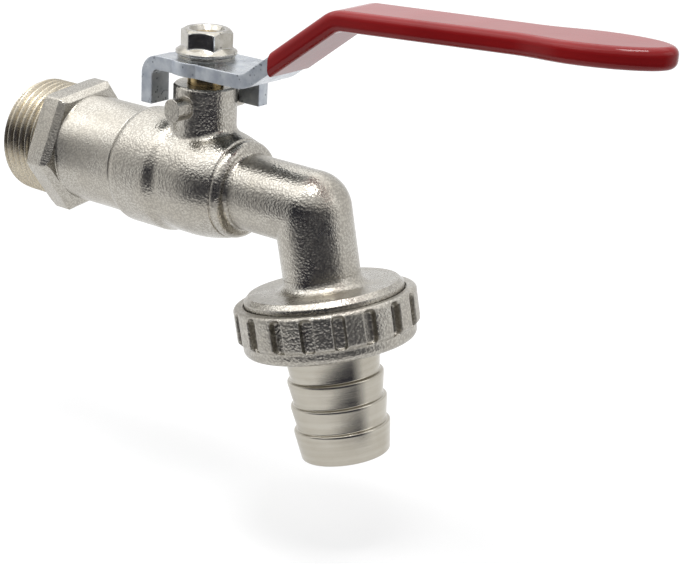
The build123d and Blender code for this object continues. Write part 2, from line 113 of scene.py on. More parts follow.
class NodeSheet:
    """A node tree with short calls to place and join nodes."""

    # Numbers of the Mix node's colour sockets, whose names it uses more than once.
    MIX_FIRST = 6
    MIX_SECOND = 7
    MIX_RESULT = 2

    def __init__(self, tree: bpy.types.NodeTree) -> None:
        """Keeps the tree of a material, a world or a group."""
        self.tree = tree

    def add(self, kind: str, values: Optional[Values] = None, **settings: Any) -> bpy.types.Node:
        """Places one node, sets its options and fills its inputs.

        Args:
            kind: the node's type name.
            values: input name or number to a plain value or to a socket to join.
            settings: the node's own options.

        Returns:
            The new node.
        """
        node = self.tree.nodes.new(kind)
        for name, option in settings.items():
            setattr(node, name, option)
        self.fill(node, values or {})
        return node

    def fill(self, node: bpy.types.Node, values: Values) -> None:
        """Sets plain values on a node's inputs and joins sockets to them.

        Args:
            node: the node to fill.
            values: input name or number to a plain value or to a socket to join.
        """
        for key, value in values.items():
            if isinstance(value, Socket):
                self.tree.links.new(value, node.inputs[key])
            else:
                node.inputs[key].default_value = value

    def surface_point(self) -> Socket:
        """Gives the point on the surface, in the part's own frame."""
        return self.add("ShaderNodeTexCoord").outputs["Object"]

    def math(self, operation: str, first: Value, second: Value = 0.0) -> Socket:
        """Works out one sum and returns its socket."""
        return self.add("ShaderNodeMath", {0: first, 1: second}, operation=operation).outputs[0]

    def vector(self, operation: str, first: Value, second: Value) -> bpy.types.Node:
        """Works out one vector sum and returns its node."""
        return self.add("ShaderNodeVectorMath", {0: first, 1: second}, operation=operation)

    def per_metre(self, size: Socket) -> Socket:
        """Gives how many of a size go into a metre."""
        return self.math("DIVIDE", 1.0, size)

    def weigh(self, first: Socket, first_share: float, second: Socket, second_share: float) -> Socket:
        """Adds two values, each by its share."""
        part = self.math("MULTIPLY", first, first_share)
        return self.math("ADD", part, self.math("MULTIPLY", second, second_share))

    def noise(self, point: Socket, scale: Value, detail: float, roughness: float = 0.5) -> Socket:
        """Gives a soft noise from 0 to 1, with its scale in lumps to a metre."""
        values = {"Vector": point, "Scale": scale, "Detail": detail, "Roughness": roughness}
        return self.add("ShaderNodeTexNoise", values).outputs["Fac"]

    def spread(
        self, value: Socket, low: float, high: float, to_low: float = 0.0, to_high: float = 1.0
    ) -> Socket:
        """Stretches a value from one range to another, clamped.

        Args:
            value: the socket to read.
            low: the value that becomes to_low.
            high: the value that becomes to_high.
            to_low: the result at the low end.
            to_high: the result at the high end.

        Returns:
            The stretched value's socket.
        """
        values = {"Value": value, "From Min": low, "From Max": high, "To Min": to_low, "To Max": to_high}
        return self.add("ShaderNodeMapRange", values).outputs["Result"]

    def blend(self, factor: Value, first: Value, second: Value) -> Socket:
        """Mixes two colours or their sockets: a factor of 0 gives the first and 1 the second."""
        values = {0: factor, self.MIX_FIRST: with_alpha(first), self.MIX_SECOND: with_alpha(second)}
        return self.add("ShaderNodeMix", values, data_type="RGBA").outputs[self.MIX_RESULT]

    def cover(self, under: Value, over: Value, mask: Socket, share: float) -> Socket:
        """Lays one colour over another where a mask is, as well as its share says."""
        return self.blend(self.math("MULTIPLY", mask, share), under, over)

    def bump(self, height: Socket, depth: float, normal: Optional[Socket] = None) -> Socket:
        """Turns heights into a normal.

        Args:
            height: the heights, from 0 to 1.
            depth: how deep a height of 1 is.
            normal: a normal to build on, in place of the mesh's own.

        Returns:
            The normal's socket.
        """
        values: Dict[str, Value] = {"Height": height, "Distance": depth}
        if normal is not None:
            values["Normal"] = normal
        return self.add("ShaderNodeBump", values).outputs["Normal"]


class EffectGroup:
    """A shader node group with named inputs and outputs, made once and placed in many materials."""

    NAME: str
    INPUTS: Mapping[str, SocketKind]
    OUTPUTS: Mapping[str, SocketKind]

    def __init__(self) -> None:
        """Makes the group, its sockets and its nodes."""
        self.tree = bpy.data.node_groups.new(self.NAME, "ShaderNodeTree")
        for direction, sockets in (("INPUT", self.INPUTS), ("OUTPUT", self.OUTPUTS)):
            for label, kind in sockets.items():
                self.tree.interface.new_socket(label, in_out=direction, socket_type=kind.value)
        self.sheet = NodeSheet(self.tree)
        self.given = self.sheet.add("NodeGroupInput").outputs
        self.sheet.add("NodeGroupOutput", self.build())

    def build(self) -> Values:
        """Fills the group with nodes and gives what it puts out."""
        raise NotImplementedError

    def place(self, sheet: NodeSheet, values: Values) -> bpy.types.bpy_prop_collection:
        """Places the group in a material and gives its outputs."""
        return sheet.add("ShaderNodeGroup", values, node_tree=self.tree).outputs


class PebbleEffect(EffectGroup):
    """The fine pebbled skin and slow waves of a blasted casting."""

    NAME = "pebbled_skin"
    INPUTS = {"Grain": SocketKind.FLOAT, "Wave": SocketKind.FLOAT}
    OUTPUTS = {"Height": SocketKind.FLOAT, "Pits": SocketKind.FLOAT, "Waves": SocketKind.FLOAT}
    NOISE_SHARE = 0.4
    PEBBLE_SHARE = 0.6
    PIT_RIM = 0.60
    PIT_FLOOR = 0.44

    def build(self) -> Values:
        """Adds rounded pebbles to fine noise, with slow waves beside them.

        Returns:
            What the group puts out.
        """
        sheet = self.sheet
        point = sheet.surface_point()
        per_grain = sheet.per_metre(self.given["Grain"])
        fine = sheet.noise(point, per_grain, detail=2.0, roughness=0.55)
        pebble = sheet.add(
            "ShaderNodeTexVoronoi",
            {"Vector": point, "Scale": per_grain, "Smoothness": 0.4},
            feature="SMOOTH_F1",
        )
        round_top = sheet.math("SUBTRACT", 1.0, pebble.outputs["Distance"])
        skin = sheet.weigh(fine, self.NOISE_SHARE, round_top, self.PEBBLE_SHARE)
        waves = sheet.noise(point, sheet.per_metre(self.given["Wave"]), detail=1.0)
        return {"Height": skin, "Pits": sheet.spread(skin, self.PIT_RIM, self.PIT_FLOOR), "Waves": waves}


class EdgeSheenAndWearEffect(EffectGroup):
    """Edges for a painted highlight that is partly rubbed wear, with a rounded normal, and dull handled
    patches.
    """

    NAME = "edge_sheen_and_wear"
    INPUTS = {"Edge Width": SocketKind.FLOAT, "Patch": SocketKind.FLOAT}
    OUTPUTS = {"Edge": SocketKind.FLOAT, "Patches": SocketKind.FLOAT, "Rounded": SocketKind.VECTOR}
    EDGE_START = 0.985
    EDGE_FULL = 0.86
    PATCH_START = 0.35
    PATCH_FULL = 0.68

    def build(self) -> Values:
        """Finds edges by comparing the rounded normal with the true one.

        Returns:
            What the group puts out.
        """
        sheet = self.sheet
        rounded = sheet.add("ShaderNodeBevel", {"Radius": self.given["Edge Width"]}, samples=4)
        flat = sheet.add("ShaderNodeNewGeometry").outputs["Normal"]
        same = sheet.vector("DOT_PRODUCT", rounded.outputs["Normal"], flat).outputs["Value"]
        per_patch = sheet.per_metre(self.given["Patch"])
        patch = sheet.noise(sheet.surface_point(), per_patch, detail=5.0, roughness=0.6)
        # The Edge mask lightens edges in the colour: a painted highlight, partly wear.
        return {
            "Edge": sheet.spread(same, self.EDGE_START, self.EDGE_FULL),
            "Patches": sheet.spread(patch, self.PATCH_START, self.PATCH_FULL),
            "Rounded": rounded.outputs["Normal"],
        }


class TurningEffect(EffectGroup):
    """Fine rings left by a lathe round an axis."""

    NAME = "turning_marks"
    INPUTS = {"Point": SocketKind.VECTOR, "Axis": SocketKind.VECTOR, "Ring Width": SocketKind.FLOAT}
    OUTPUTS = {"Height": SocketKind.FLOAT, "Bands": SocketKind.FLOAT}
    BANDS_PER_RING = 0.09

    def ring_noise(self, count: Socket, scale: float, detail: float) -> Socket:
        """Gives a noise that changes only along the axis, with its scale in lumps to a ring."""
        values = {"W": count, "Scale": scale, "Detail": detail}
        return self.sheet.add("ShaderNodeTexNoise", values, noise_dimensions="1D").outputs["Fac"]

    def build(self) -> Values:
        """Measures along the axis and gives each ring its own height.

        Returns:
            What the group puts out.
        """
        sheet = self.sheet
        offset = sheet.vector("SUBTRACT", sheet.surface_point(), self.given["Point"]).outputs["Vector"]
        along = sheet.vector("DOT_PRODUCT", offset, self.given["Axis"]).outputs["Value"]
        count = sheet.math("DIVIDE", along, self.given["Ring Width"])
        rings = self.ring_noise(count, scale=1.0, detail=2.0)
        bands = self.ring_noise(count, scale=self.BANDS_PER_RING, detail=1.0)
        return {"Height": rings, "Bands": bands}


class ScratchEffect(EffectGroup):
    """Thin scratches, small dark pits and clouds of pressed plated steel."""

    NAME = "scratches"
    INPUTS = {"Width": SocketKind.FLOAT, "Pit": SocketKind.FLOAT}
    OUTPUTS = {"Scratch": SocketKind.FLOAT, "Pits": SocketKind.FLOAT, "Cloud": SocketKind.FLOAT}
    SCRATCH_TURN = (0.3, 0.2, 0.5)
    SCRATCH_STRETCH = (0.06, 1.0, 1.0)
    SCRATCH_START = 0.60
    SCRATCH_FULL = 0.72
    PIT_RIM = 0.34
    PIT_FLOOR = 0.16
    PIT_GROUP = 0.25
    GROUP_START = 0.52
    GROUP_FULL = 0.62
    CLOUDS_PER_METRE = 420.0
    CLOUD_START = 0.35
    CLOUD_FULL = 0.65

    def build(self) -> Values:
        """Pulls noise out along the lever for scratches and picks sparse cells for pits.

        Returns:
            What the group puts out.
        """
        sheet = self.sheet
        point = sheet.surface_point()
        pulled = sheet.add(
            "ShaderNodeMapping",
            {"Vector": point, "Rotation": self.SCRATCH_TURN, "Scale": self.SCRATCH_STRETCH},
        )
        thin = sheet.noise(pulled.outputs["Vector"], sheet.per_metre(self.given["Width"]), detail=3.0)
        per_pit = sheet.per_metre(self.given["Pit"])
        cell = sheet.add("ShaderNodeTexVoronoi", {"Vector": point, "Scale": per_pit})
        spots = sheet.spread(cell.outputs["Distance"], self.PIT_RIM, self.PIT_FLOOR)
        group = sheet.noise(point, sheet.math("MULTIPLY", per_pit, self.PIT_GROUP), detail=2.0)
        grouped = sheet.spread(group, self.GROUP_START, self.GROUP_FULL)
        cloud = sheet.noise(point, self.CLOUDS_PER_METRE, detail=4.0)
        return {
            "Scratch": sheet.spread(thin, self.SCRATCH_START, self.SCRATCH_FULL),
            "Pits": sheet.math("MULTIPLY", spots, grouped),
            "Cloud": sheet.spread(cloud, self.CLOUD_START, self.CLOUD_FULL),
        }


class CreviceShadeGrimeEffect(EffectGroup):
    """Painted shade with some grime: darkening where other surfaces close in, in corners and along
    joints.
    """

    NAME = "crevice_shade_grime"
    INPUTS = {"Reach": SocketKind.FLOAT}
    OUTPUTS = {"Shade Grime": SocketKind.FLOAT}
    CLOSED_START = 0.55
    CLOSED_FULL = 0.2
    PATCHES_PER_METRE = 900.0
    PATCH_START = 0.25
    PATCH_FULL = 0.55

    def build(self) -> Values:
        """Finds places with other surfaces close by and breaks them up with noise.

        Returns:
            What the group puts out.
        """
        sheet = self.sheet
        # Ambient occlusion finds where shade falls; the mask paints that shade into the colour, broken
        # up as grime.
        open_sky = sheet.add("ShaderNodeAmbientOcclusion", {"Distance": self.given["Reach"]}, samples=8)
        closed = sheet.spread(open_sky.outputs["AO"], self.CLOSED_START, self.CLOSED_FULL)
        patch = sheet.noise(sheet.surface_point(), self.PATCHES_PER_METRE, detail=3.0)
        broken = sheet.spread(patch, self.PATCH_START, self.PATCH_FULL)
        return {"Shade Grime": sheet.math("MULTIPLY", closed, broken)}


@dataclass
class Effects:
    """The shared node groups, made once."""

    pebble: PebbleEffect = field(default_factory=PebbleEffect)
    sheen_and_wear: EdgeSheenAndWearEffect = field(default_factory=EdgeSheenAndWearEffect)
    turning: TurningEffect = field(default_factory=TurningEffect)
    scratch: ScratchEffect = field(default_factory=ScratchEffect)
    crevice: CreviceShadeGrimeEffect = field(default_factory=CreviceShadeGrimeEffect)


def blank_material(name: str) -> Tuple[bpy.types.Material, NodeSheet, bpy.types.Node]:
    """Makes a material with one Principled shader.

    Args:
        name: the material's name.

    Returns:
        The material, its nodes and its shader.
    """
    material = bpy.data.materials.new(name)
    material.use_nodes = True
    material.node_tree.nodes.clear()
    sheet = NodeSheet(material.node_tree)
    shader = sheet.add("ShaderNodeBsdfPrincipled")
    sheet.add("ShaderNodeOutputMaterial", {"Surface": shader.outputs["BSDF"]})
    return material, sheet, shader


@dataclass(frozen=True)
class CastNickel:
    """Nickel plate on a blasted casting: satin, pebbled, with edges painted lighter as a highlight that
    is partly wear, and crevices darkened as painted shade with grime.
    """

    name: str = "cast_nickel"
    light: Colour = (0.48, 0.462, 0.417)
    warm: Colour = (0.43, 0.39, 0.32)
    pit: Colour = (0.30, 0.28, 0.25)
    # Edge colour: a painted highlight on edges, partly rubbed wear.
    edge: Colour = (0.66, 0.63, 0.57)
    # Dark tan for crevices and joints: painted shade from ambient occlusion, partly grime.
    shade_grime: Colour = (0.10, 0.085, 0.055)
    grain: float = 0.50 * MM
    wave: float = 4.0 * MM
    patch: float = 9.0 * MM
    depth: float = 0.095 * MM
    wave_depth: float = 0.03 * MM
    edge_width: float = 0.35 * MM
    shade_grime_reach: float = 0.5 * MM
    warm_share: float = 0.45
    pit_share: float = 0.7
    edge_share: float = 0.6
    shade_grime_share: float = 0.85
    smooth: float = 0.20
    rough: float = 0.36

    def material(self, effects: Effects) -> bpy.types.Material:
        """Builds the finish.

        Args:
            effects: the shared node groups.

        Returns:
            The material.
        """
        material, sheet, shader = blank_material(self.name)
        skin = effects.pebble.place(sheet, {"Grain": self.grain, "Wave": self.wave})
        sheen_and_wear = effects.sheen_and_wear.place(sheet, {"Edge Width": self.edge_width, "Patch": self.patch})
        crevice = effects.crevice.place(sheet, {"Reach": self.shade_grime_reach})
        tinted = sheet.blend(sheen_and_wear["Patches"], self.light, self.warm)
        plain = sheet.blend(self.warm_share, self.light, tinted)
        pitted = sheet.cover(plain, self.pit, skin["Pits"], self.pit_share)
        # Painted highlight: edges are made lighter in the colour, partly as wear.
        bright = sheet.cover(pitted, self.edge, sheen_and_wear["Edge"], self.edge_share)
        # Painted shade: crevices and joints are darkened in the colour, partly as grime.
        shaded_and_soiled = sheet.cover(bright, self.shade_grime, crevice["Shade Grime"], self.shade_grime_share)
        slow = sheet.bump(skin["Waves"], self.wave_depth, sheen_and_wear["Rounded"])
        sheet.fill(shader, {
            "Metallic": 1.0,
            "Base Color": shaded_and_soiled,
            "Roughness": sheet.spread(sheen_and_wear["Patches"], 0.0, 1.0, self.smooth, self.rough),
            "Normal": sheet.bump(skin["Height"], self.depth, slow),
        })
        return material


@dataclass(frozen=True)
class TurnedMetal:
    """Metal turned on a lathe: smooth, with fine rings round its axis."""

    name: str
    light: Colour
    shade: Colour
    point: Vector
    axis: Vector
    # Edge colour: a painted highlight on edges, partly rubbed wear.
    edge: Colour = (0.70, 0.67, 0.60)
    ring: float = 0.12 * MM
    depth: float = 0.006 * MM
    edge_width: float = 0.25 * MM
    patch: float = 7.0 * MM
    band_share: float = 0.6
    patch_share: float = 0.4
    edge_share: float = 0.5
    dull_from: float = 0.2
    dull_to: float = 0.8
    smooth: float = 0.15
    rough: float = 0.26

    def material(self, effects: Effects) -> bpy.types.Material:
        """Builds the finish.

        Args:
            effects: the shared node groups.

        Returns:
            The material.
        """
        material, sheet, shader = blank_material(self.name)
        lathe = {"Point": self.point, "Axis": self.axis, "Ring Width": self.ring}
        marks = effects.turning.place(sheet, lathe)
        sheen_and_wear = effects.sheen_and_wear.place(sheet, {"Edge Width": self.edge_width, "Patch": self.patch})
        tone = sheet.weigh(marks["Bands"], self.band_share, sheen_and_wear["Patches"], self.patch_share)
        colour = sheet.blend(tone, self.light, self.shade)
        # The edge colour below paints a highlight on edges, partly as wear.
        sheet.fill(shader, {
            "Metallic": 1.0,
            "Base Color": sheet.cover(colour, self.edge, sheen_and_wear["Edge"], self.edge_share),
            "Roughness": sheet.spread(tone, self.dull_from, self.dull_to, self.smooth, self.rough),
            "Normal": sheet.bump(marks["Height"], self.depth),
        })
        return material


@dataclass(frozen=True)
class PlatedSteel:
    """Pressed steel with a plated skin: clouded, scratched, pitted, duller where it was cut."""

    name: str
    light: Colour
    shade: Colour
    pit: Colour
    # Edge colour: a painted highlight on edges, partly rubbed wear.
    edge: Colour = (0.70, 0.72, 0.74)
    scratch_width: float = 0.12 * MM
    pit_size: float = 0.9 * MM
    mark_depth: float = 0.012 * MM
    edge_width: float = 0.45 * MM
    patch: float = 5.0 * MM
    edge_share: float = 0.5
    scratch_share: float = 0.35
    pit_share: float = 0.8
    smooth: float = 0.18
    rough: float = 0.34
    # Roughness added on upright faces, and the upward parts of normals that count as upright and level.
    cut_rough: float = 0.0
    upright: float = 0.25
    level: float = 0.6

    def material(self, effects: Effects) -> bpy.types.Material:
        """Builds the finish.

        Args:
            effects: the shared node groups.

        Returns:
            The material.
        """
        material, sheet, shader = blank_material(self.name)
        marks = effects.scratch.place(sheet, {"Width": self.scratch_width, "Pit": self.pit_size})
        sheen_and_wear = effects.sheen_and_wear.place(sheet, {"Edge Width": self.edge_width, "Patch": self.patch})
        colour = sheet.blend(marks["Cloud"], self.light, self.shade)
        # Painted highlight: edges are made lighter in the colour, partly as wear.
        edged = sheet.cover(colour, self.edge, sheen_and_wear["Edge"], self.edge_share)
        scratched = sheet.cover(edged, self.shade, marks["Scratch"], self.scratch_share)
        normal = sheet.add("ShaderNodeNewGeometry").outputs["Normal"]
        upward = sheet.add("ShaderNodeSeparateXYZ", {"Vector": normal}).outputs["Z"]
        cut = sheet.spread(sheet.math("ABSOLUTE", upward), self.upright, self.level, self.cut_rough, 0.0)
        gloss = sheet.spread(sheen_and_wear["Patches"], 0.0, 1.0, self.smooth, self.rough)
        height = sheet.math("SUBTRACT", 1.0, sheet.math("MAXIMUM", marks["Scratch"], marks["Pits"]))
        sheet.fill(shader, {
            "Metallic": 1.0,
            "Base Color": sheet.cover(scratched, self.pit, marks["Pits"], self.pit_share),
            "Roughness": sheet.math("ADD", gloss, cut),
            "Normal": sheet.bump(height, self.mark_depth, sheen_and_wear["Rounded"]),
        })
        return material


@dataclass(frozen=True)
class DippedCoat:
    """Thick glossy dipped plastic with slow runs."""

    name: str = "red_coat"
    deep: Colour = (0.24, 0.008, 0.010)
    light: Colour = (0.34, 0.014, 0.015)
    grain: float = 1.6 * MM
    grain_depth: float = 0.006 * MM
    run: float = 14.0 * MM
    run_depth: float = 0.12 * MM
    patch: float = 6.0 * MM
    smooth: float = 0.06
    rough: float = 0.12
    shine: float = 0.22

    def material(self, effects: Effects) -> bpy.types.Material:
        """Builds the finish.

        Args:
            effects: the shared node groups.

        Returns:
            The material.
        """
        material, sheet, shader = blank_material(self.name)
        skin = effects.pebble.place(sheet, {"Grain": self.grain, "Wave": self.run})
        sheen_and_wear = effects.sheen_and_wear.place(sheet, {"Patch": self.patch})
        slow = sheet.bump(skin["Waves"], self.run_depth)
        sheet.fill(shader, {
            "Specular IOR Level": self.shine,
            "Base Color": sheet.blend(skin["Waves"], self.deep, self.light),
            "Roughness": sheet.spread(sheen_and_wear["Patches"], 0.0, 1.0, self.smooth, self.rough),
            "Normal": sheet.bump(skin["Height"], self.grain_depth, slow),
        })
        return material


@dataclass(frozen=True)
class SoftPolymer:
    """Moulded rubber or waxy plastic with a fine dull grain."""

    name: str
    base: Colour
    shade: Colour
    smooth: float
    rough: float
    grain: float = 0.3 * MM
    wave: float = 5.0 * MM
    depth: float = 0.01 * MM

    def material(self, effects: Effects) -> bpy.types.Material:
        """Builds the finish.

        Args:
            effects: the shared node groups.

        Returns:
            The material.
        """
        material, sheet, shader = blank_material(self.name)
        skin = effects.pebble.place(sheet, {"Grain": self.grain, "Wave": self.wave})
        sheet.fill(shader, {
            "Base Color": sheet.blend(skin["Waves"], self.base, self.shade),
            "Roughness": sheet.spread(skin["Pits"], 0.0, 1.0, self.smooth, self.rough),
            "Normal": sheet.bump(skin["Height"], self.depth),
        })
        return material


def dress(node: str, material: bpy.types.Material) -> None:
    """Gives a CAD node its finish.

    Args:
        node: the node's name.
        material: the finish.
    """
    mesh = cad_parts[node].data
    mesh.materials.clear()
    mesh.materials.append(material)
    log.info("dressed %s with %s", node, material.name)


def shade_by_angle(bm: bmesh.types.BMesh) -> None:
    """Shades a mesh smooth and keeps its sharp edges.

    Args:
        bm: the mesh.
    """
    for face in bm.faces:
        face.smooth = True
    for edge in bm.edges:
        edge.smooth = edge.calc_face_angle(0.0) < SHARP_EDGE


def add_piece(
    name: str, bm: bmesh.types.BMesh, materials: Sequence[bpy.types.Material]
) -> bpy.types.Object:
    """Turns a finished bmesh into an object at the origin.

    Args:
        name: the piece's name.
        bm: the mesh, which is freed.
        materials: its finishes, in the order of its faces' numbers.

    Returns:
        The new object.
    """
    mesh = bpy.data.meshes.new(name)
    bm.to_mesh(mesh)
    bm.free()
    for material in materials:
        mesh.materials.append(material)
    piece = bpy.data.objects.new(name, mesh)
    bpy.context.scene.collection.objects.link(piece)
    log.info("built %s with %d faces", name, len(mesh.polygons))
    return piece


@dataclass
class InletEnd:
    """The turned inlet end: cut pipe thread, spanner hexagon, barrel and bore."""

    skin: CastNickel = CastNickel(name="inlet_nickel", grain=0.40 * MM, depth=0.05 * MM)
    thread_skin: CastNickel = CastNickel(
        name="thread_nickel",
        light=(0.58, 0.52, 0.40),
        warm=(0.50, 0.41, 0.27),
        grain=0.25 * MM,
        depth=0.012 * MM,
    )
    thread_r: float = 26.441 / 2 * MM
    pitch: float = 1.814 * MM
    thread_depth: float = 1.10 * MM
    thread_length: float = 10.5 * MM
    # One flank from root to crest, as shares of the pitch and of the depth.
    flank: Tuple[Tuple[float, float], ...] = (
        (0.0, 0.0),
        (0.10, 0.03),
        (0.18, 0.16),
        (0.37, 0.84),
        (0.44, 0.97),
    )
    # Pitches that the helix starts ahead of the tip, and turns it has to spare, both cut off again.
    lead_in: float = 1.5
    spare_turns: int = 2
    tip_chamfer: float = 1.0 * MM
    run_out: float = 0.7 * MM
    relief_r: float = 12.05 * MM
    flats: float = 27.0 * MM
    hexagon_length: float = 6.0 * MM
    hexagon_turn: float = math.radians(-6.5)
    front_bevel: float = 1.0 * MM
    back_bevel: float = 1.4 * MM
    face_margin: float = 0.2 * MM
    rear_bevel: float = 1.6 * MM
    rear_drop: float = 1.1 * MM
    corner_round: float = 0.6 * MM
    corner_tilts: Tuple[float, ...] = (-20.0, -10.0, 0.0, 10.0, 20.0)
    barrel_r: float = 12.1 * MM
    barrel_fillet: float = 0.25 * MM
    fillet_middle: float = 0.3
    seam_x: float = 22.7 * MM
    seam_bevel: float = 0.5 * MM
    joint_r: float = 11.3 * MM
    joint_end_x: float = 33.6 * MM
    bore_r: float = 9.2 * MM
    bore_depth: float = 12.0 * MM
    bore_chamfer: float = 0.5 * MM
    cone_length: float = 7.0 * MM
    seat_bore_r: float = 6.2 * MM
    seat_r: float = 9.05 * MM
    seat_back_x: float = 30.5 * MM
    steps: int = 96

    def thread_profile(self) -> Outline:
        """Draws one pitch of the rounded thread.

        Returns:
            Its points as distance along the axis and radius.
        """
        root = self.thread_r - self.thread_depth
        falling = [(1.0 - along, up) for along, up in reversed(self.flank)]
        shares = [*self.flank, (0.5, 1.0), *falling]
        return [(along * self.pitch, root + up * self.thread_depth) for along, up in shares]

    def turned_profile(self) -> Outline:
        """Draws the outline from the thread's root round the hexagon, barrel and bore to the tip.

        Returns:
            Its points as distance along the axis and radius.
        """
        corner_r = self.flats / 2 / math.cos(math.pi / 6)
        blank_r = corner_r + self.front_bevel
        middle = self.fillet_middle * self.barrel_fillet
        return [
            (0.0, self.relief_r),
            (0.0, corner_r - self.front_bevel),
            (self.front_bevel, blank_r),
            (self.hexagon_length - self.back_bevel, blank_r),
            (self.hexagon_length, self.flats / 2 + self.face_margin),
            (self.hexagon_length, self.barrel_r + self.barrel_fillet),
            (self.hexagon_length + middle, self.barrel_r + middle),
            (self.hexagon_length + self.barrel_fillet, self.barrel_r),
            (self.seam_x - self.seam_bevel, self.barrel_r),
            (self.seam_x, self.barrel_r - self.seam_bevel),
            (self.seam_x, self.joint_r),
            (self.joint_end_x, self.joint_r),
            (self.joint_end_x, self.seat_r),
            (self.seat_back_x, self.seat_r),
            (self.seat_back_x, self.seat_bore_r),
            (self.bore_depth + self.cone_length, self.seat_bore_r),
            (self.bore_depth, self.bore_r),
            (self.bore_chamfer - self.thread_length, self.bore_r),
            (-self.thread_length, self.bore_r + self.bore_chamfer),
        ]

    def spin_line(self, bm: bmesh.types.BMesh, line: Outline, turns: int, advance: float) -> None:
        """Spins a line of points round the inlet axis.

        Args:
            bm: the mesh to add to.
            line: distances along the axis and radii.
            turns: how many full turns to make.
            advance: how far each turn moves along the axis.
        """
        verts = [bm.verts.new((x, 0.0, radius)) for x, radius in line]
        edges = [bm.edges.new(pair) for pair in zip(verts, verts[1:])]
        bmesh.ops.spin(
            bm,
            geom=verts + edges,
            cent=(0.0, 0.0, 0.0),
            axis=INLET_AXIS,
            dvec=INLET_AXIS * (advance / self.steps),
            angle=2 * math.pi * turns,
            steps=self.steps * turns,
            use_merge=advance == 0.0,
        )

    def cut_thread(self) -> bmesh.types.BMesh:
        """Makes the thread as an open sleeve, cut square at both ends and chamfered at the tip.

        Returns:
            The sleeve.
        """
        bm = bmesh.new()
        turns = math.ceil(self.thread_length / self.pitch) + self.spare_turns
        start = -self.thread_length - self.lead_in * self.pitch
        line = [(start + x, radius) for x, radius in self.thread_profile()]
        self.spin_line(bm, line, turns, self.pitch)
        bmesh.ops.remove_doubles(bm, verts=bm.verts, dist=SAME_POINT)
        for place, side in ((-self.thread_length, -1.0), (-self.run_out, 1.0)):
            bmesh.ops.bisect_plane(
                bm,
                geom=bm.verts[:] + bm.edges[:] + bm.faces[:],
                dist=ON_PLANE,
                plane_co=INLET_AXIS * place,
                plane_no=INLET_AXIS * side,
                clear_outer=True,
            )
        for vert in bm.verts:
            radius = math.hypot(vert.co.y, vert.co.z)
            limit = self.thread_r - self.tip_chamfer + (vert.co.x + self.thread_length)
            if radius > limit:
                vert.co.yz = vert.co.yz * (limit / radius)
        return bm

    def hexagon_planes(self) -> List[Tuple[Vector, Vector]]:
        """Lays out the cuts that make the hexagon: flats, corner facets and rear bevels.

        Returns:
            A point and an outward normal for each cut.
        """
        half_side = math.pi / 6
        centre_r = (self.flats / 2 - self.corner_round) / math.cos(half_side)
        planes = []
        for number in range(6):
            flat_turn = self.hexagon_turn + 2 * number * half_side
            outward = Vector((0.0, math.sin(flat_turn), math.cos(flat_turn)))
            flat = outward * self.flats / 2
            planes.append((flat, outward))
            for tilt in map(math.radians, self.corner_tilts):
                turn = flat_turn + half_side + tilt
                facet = Vector((0.0, math.sin(turn), math.cos(turn)))
                planes.append((facet * (centre_r * math.cos(tilt) + self.corner_round), facet))
            bevel_start = flat + INLET_AXIS * (self.hexagon_length - self.rear_bevel)
            bevel_normal = INLET_AXIS * self.rear_drop + outward * self.rear_bevel
            planes.append((bevel_start, bevel_normal.normalized()))
        return planes

    def on_collar(self, vert: bmesh.types.BMVert) -> bool:
        """Says whether a vertex lies on the hexagon's stretch of the axis, outside the barrel."""
        along = -SAME_POINT < vert.co.x < self.hexagon_length + SAME_POINT
        return along and math.hypot(vert.co.y, vert.co.z) > self.relief_r - SAME_POINT

    def turn_shell(self) -> bmesh.types.BMesh:
        """Turns the hexagon's blank, the barrel and the bore, and planes the hexagon.

        Returns:
            The shell, open where the thread goes.
        """
        bm = bmesh.new()
        self.spin_line(bm, self.turned_profile(), 1, 0.0)
        for point, outward in self.hexagon_planes():
            collar = [face for face in bm.faces if all(self.on_collar(vert) for vert in face.verts)]
            edges = {edge for face in collar for edge in face.edges}
            verts = {vert for face in collar for vert in face.verts}
            cut = bmesh.ops.bisect_plane(
                bm,
                geom=[*verts, *edges, *collar],
                dist=ON_PLANE,
                plane_co=point,
                plane_no=outward,
                clear_outer=True,
            )
            rim = [item for item in cut["geom_cut"] if isinstance(item, bmesh.types.BMEdge)]
            bmesh.ops.contextual_create(bm, geom=rim)
        return bm

    def build(self, effects: Effects) -> bpy.types.Object:
        """Builds the piece in place of its CAD node.

        Args:
            effects: the shared node groups.

        Returns:
            The finished piece.
        """
        bm = self.cut_thread()
        thread_faces = set(bm.faces)
        shell = self.turn_shell()
        carrier = bpy.data.meshes.new("inlet_shell")
        shell.to_mesh(carrier)
        shell.free()
        bm.from_mesh(carrier)
        bpy.data.meshes.remove(carrier)
        rims = [edge for edge in bm.edges if edge.is_boundary]
        for place in (-self.thread_length, 0.0):
            near = [rim for rim in rims if abs(rim.verts[0].co.x - place) < 2 * self.run_out]
            bmesh.ops.bridge_loops(bm, edges=near)
        bmesh.ops.recalc_face_normals(bm, faces=bm.faces)
        for face in bm.faces:
            face.material_index = 1 if face in thread_faces else 0
        shade_by_angle(bm)
        materials = [self.skin.material(effects), self.thread_skin.material(effects)]
        piece = add_piece("inlet_end_threaded", bm, materials)
        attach(piece, Body.VALVE.value)
        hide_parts("inlet_end")
        return piece


@dataclass
class ValveBody:
    """The casting, with the plastic rings inside it."""

    skin: CastNickel = CastNickel()
    ring: SoftPolymer = SoftPolymer("seat_plastic", (0.86, 0.86, 0.83), (0.78, 0.78, 0.74), 0.36, 0.48)
    ring_nodes: Tuple[str, ...] = ("inlet_seat", "outlet_seat", "thrust_washer")

    def dress(self, effects: Effects) -> None:
        """Gives the casting and the rings their finishes.

        Args:
            effects: the shared node groups.
        """
        dress("body", self.skin.material(effects))
        plastic = self.ring.material(effects)
        for node in self.ring_nodes:
            dress(node, plastic)


